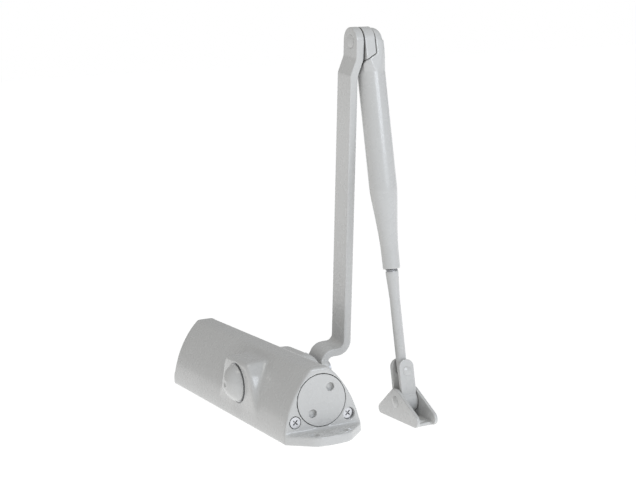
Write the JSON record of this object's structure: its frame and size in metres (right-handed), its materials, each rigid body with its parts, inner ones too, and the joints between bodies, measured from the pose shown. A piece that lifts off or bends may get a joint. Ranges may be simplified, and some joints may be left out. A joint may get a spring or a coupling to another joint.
{
  "type": "door closer",
  "caption": "Surface-mounted rack-and-pinion door closer with arched body, valve screws, folding main arm, adjustable forearm and shoe.",
  "frame": {"origin": "centre of the body's mounting face, midway between its two end faces", "axes": "+X along the piston bore towards the end with the valve screws, +Y along the spindle towards the arm, +Z away from the door, from the mounting face to the body's crown"},
  "size_m": [0.2114, 0.102, 0.2373],
  "materials": {
    "paint": "pale grey semi-gloss paint",
    "casting": "die-cast or turned aluminium alloy under the same pale grey paint",
    "steel": "ground and oiled steel",
    "zinc": "bright zinc plating",
    "bronze": "sintered bronze",
    "rubber": "black oil-proof rubber"
  },
  "bodies": {
    "closer_body": {"housing": "casting", "valve_end_plug": "casting", "spring_end_plug": "casting", "plug_seals": "rubber", "spindle_bearings": "bronze", "gland_nuts": "zinc", "spindle_seals": "rubber", "spindle_cap": "casting", "closing_spring": "steel"},
    "closing_valve": {"closing_valve": "zinc", "closing_valve_seal": "rubber"},
    "latching_valve": {"latching_valve": "zinc", "latching_valve_seal": "rubber"},
    "spindle_and_arm": {"spindle": "steel", "main_arm": "paint", "arm_washer": "zinc", "arm_screw": "zinc", "elbow_rivet": "paint"},
    "piston": {"piston": "steel", "check_valve_seat": "bronze", "check_valve_clip": "steel"},
    "check_ball": {"check_ball": "steel"},
    "forearm": {"forearm": "paint", "rod_nut": "zinc", "elbow_spacer": "paint", "elbow_washer": "zinc"},
    "adjusting_rod": {"adjusting_rod": "paint"},
    "swivel_link": {"swivel_link": "paint", "rod_rivet": "paint"},
    "shoe": {"shoe": "paint", "shoe_rivet": "paint"}
  },
  "joints": [
    {"name": "spindle_turn", "type": "hinge", "parent": "closer_body", "child": "spindle_and_arm", "pos_m": [0.021, 0, 0.023], "axis": [0, -1, 0], "range_deg": [0, 165], "stiffness_Nm_per_rad": 4, "springref_deg": -171.89},
    {"name": "piston_travel", "type": "slide", "parent": "closer_body", "child": "piston", "axis": [-1, 0, 0], "range_m": [0, 0.0217], "deforming": ["closing_spring"]},
    {"name": "check_ball_lift", "type": "slide", "parent": "piston", "child": "check_ball", "axis": [1, 0, 0], "range_m": [0, 0.0008]},
    {"name": "closing_valve_turn", "type": "hinge", "parent": "closer_body", "child": "closing_valve", "pos_m": [0.08, -0.0175, 0.0122], "axis": [1, 0, 0], "range_deg": [-180, 180]},
    {"name": "latching_valve_turn", "type": "hinge", "parent": "closer_body", "child": "latching_valve", "pos_m": [0.08, 0.0175, 0.0122], "axis": [1, 0, 0], "range_deg": [-180, 180]},
    {"name": "elbow", "type": "hinge", "parent": "spindle_and_arm", "child": "forearm", "pos_m": [0.05139, 0.0612, 0.22877], "axis": [0, -1, 0], "range_deg": [-14, 150]},
    {"name": "rod_adjust", "type": "slide", "parent": "forearm", "child": "adjusting_rod", "axis": [0.1324, 0, -0.9912], "range_m": [-0.02, 0.022]},
    {"name": "rod_eye_swing", "type": "hinge", "parent": "adjusting_rod", "child": "swivel_link", "pos_m": [0.07803, 0.0612, 0.02924], "axis": [0.9912, 0, 0.1324], "range_deg": [-15, 15]},
    {"name": "shoe_pivot", "type": "hinge", "parent": "swivel_link", "child": "shoe", "pos_m": [0.08044, 0.0612, 0.0112], "axis": [0, -1, 0], "range_deg": [-70, 70]}
  ],
  "couplings": [
    {"joint": "piston_travel", "follows": "spindle_turn", "m_per_rad": 0.0075}
  ]
}
